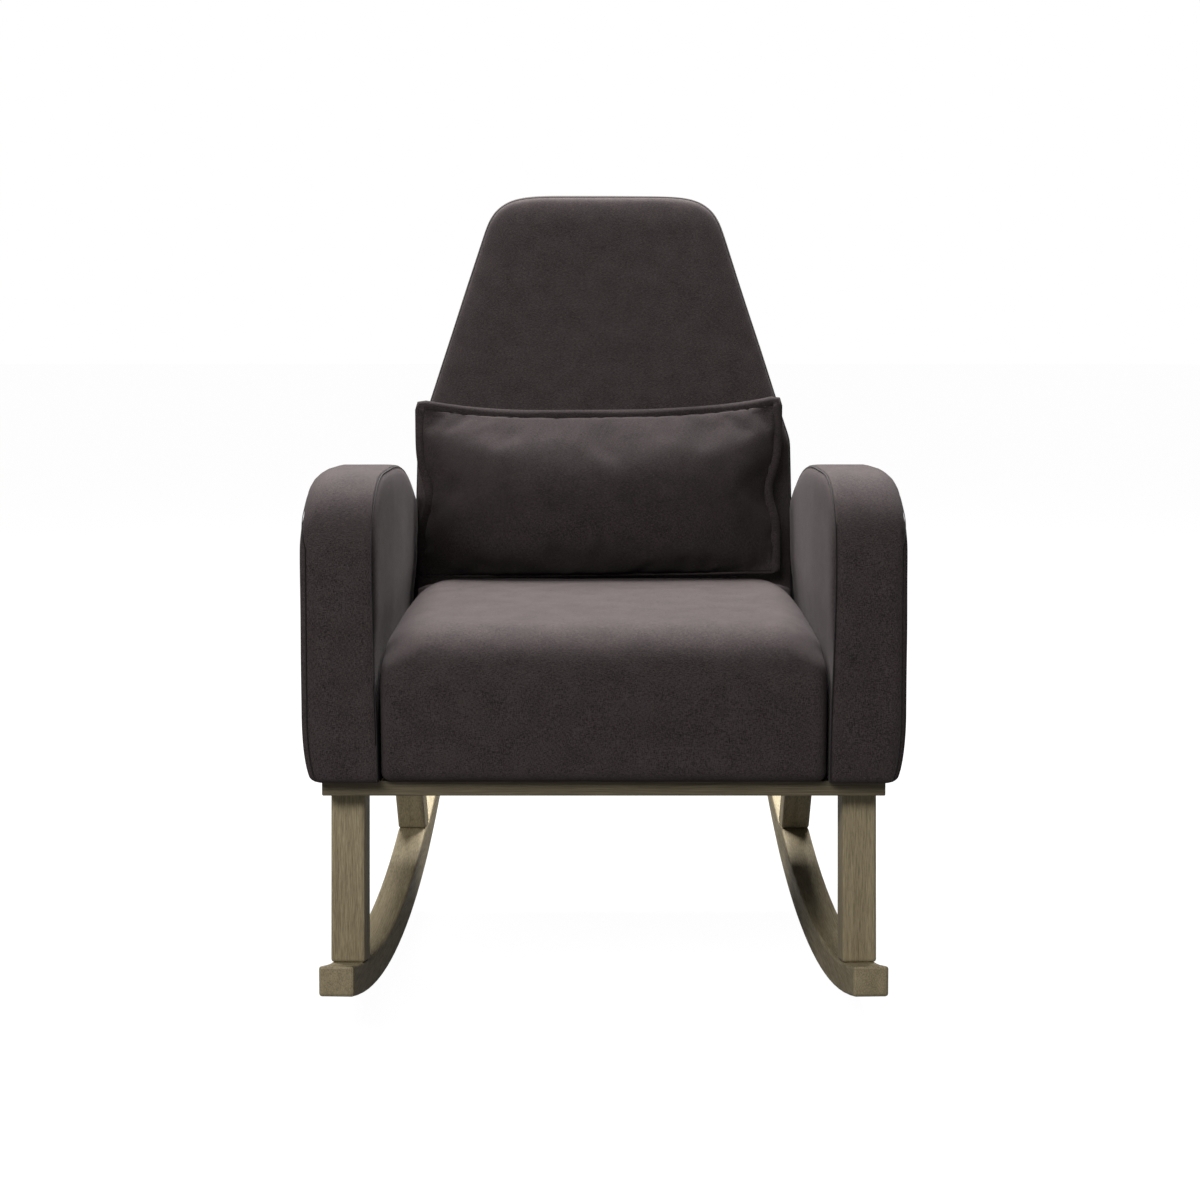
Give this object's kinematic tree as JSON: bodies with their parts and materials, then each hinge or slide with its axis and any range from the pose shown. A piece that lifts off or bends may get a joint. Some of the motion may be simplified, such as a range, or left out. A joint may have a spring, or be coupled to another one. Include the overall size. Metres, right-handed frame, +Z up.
{
  "type": "rocking chair",
  "caption": "High-back upholstered rocking chair with boxed arms, a thick seat, curved wooden rockers and a loose lumbar pillow.",
  "frame": {"origin": "on the floor under the rockers' lowest points, under the middle of the chair's bounding box", "axes": "+Z up, the chair faces -Y, +X is the chair's right as seen from the front"},
  "size_m": [0.697, 0.8912, 1.0105],
  "materials": {
    "weathered_oak": "weathered grey-brown oak, matt",
    "frame_hardwood": "raw sawn hardwood and plywood",
    "mauve_grey_fabric": "dark mauve-grey velvety weave",
    "black_cloth": "thin black non-woven cloth",
    "elastic_webbing": "woven elastic webbing",
    "zinc_plated_steel": "zinc plated",
    "spring_steel": "oiled dark spring steel",
    "clip_plastic": "moulded plastic"
  },
  "bodies": {
    "chair": {"arm_bolt_front_left": "zinc_plated_steel", "arm_bolt_front_right": "zinc_plated_steel", "arm_bolt_rear_left": "zinc_plated_steel", "arm_bolt_rear_right": "zinc_plated_steel", "arm_pad_left": "mauve_grey_fabric", "arm_pad_right": "mauve_grey_fabric", "arm_panel_left": "frame_hardwood", "arm_panel_right": "frame_hardwood", "back_lower_rail": "frame_hardwood", "back_lumbar_rail": "frame_hardwood", "back_pad": "mauve_grey_fabric", "back_post_left": "frame_hardwood", "back_post_right": "frame_hardwood", "back_top_rail": "frame_hardwood", "back_webbing_1": "elastic_webbing", "back_webbing_2": "elastic_webbing", "back_webbing_3": "elastic_webbing", "body_bolt_front_left": "zinc_plated_steel", "body_bolt_front_right": "zinc_plated_steel", "body_bolt_rear_left": "zinc_plated_steel", "body_bolt_rear_right": "zinc_plated_steel", "corner_block_left": "frame_hardwood", "corner_block_right": "frame_hardwood", "dust_cover": "black_cloth", "front_leg_left": "weathered_oak", "front_leg_right": "weathered_oak", "leg_screw_front_left": "zinc_plated_steel", "leg_screw_front_right": "zinc_plated_steel", "leg_screw_rear_left": "zinc_plated_steel", "leg_screw_rear_right": "zinc_plated_steel", "outside_back_panel": "mauve_grey_fabric", "plinth_front_rail": "weathered_oak", "plinth_rear_rail": "weathered_oak", "plinth_side_rail_left": "weathered_oak", "plinth_side_rail_right": "weathered_oak", "rear_leg_left": "weathered_oak", "rear_leg_right": "weathered_oak", "rocker_left": "weathered_oak", "rocker_right": "weathered_oak", "rocker_screw_front_left": "zinc_plated_steel", "rocker_screw_front_right": "zinc_plated_steel", "rocker_screw_rear_left": "zinc_plated_steel", "rocker_screw_rear_right": "zinc_plated_steel", "seat_front_rail": "frame_hardwood", "seat_pad": "mauve_grey_fabric", "seat_side_rail_left": "frame_hardwood", "seat_side_rail_right": "frame_hardwood", "seat_spring_1": "spring_steel", "seat_spring_2": "spring_steel", "seat_spring_3": "spring_steel", "seat_spring_4": "spring_steel", "seat_spring_rail": "frame_hardwood", "spring_clip_strip_front": "clip_plastic", "spring_clip_strip_rear": "clip_plastic"},
    "lumbar_pillow": {"lumbar_pillow": "mauve_grey_fabric"}
  },
  "joints": [
    {"name": "pillow_lift", "type": "slide", "parent": "chair", "child": "lumbar_pillow", "axis": [0, 0, 1], "range_m": [0, 0.6]}
  ]
}
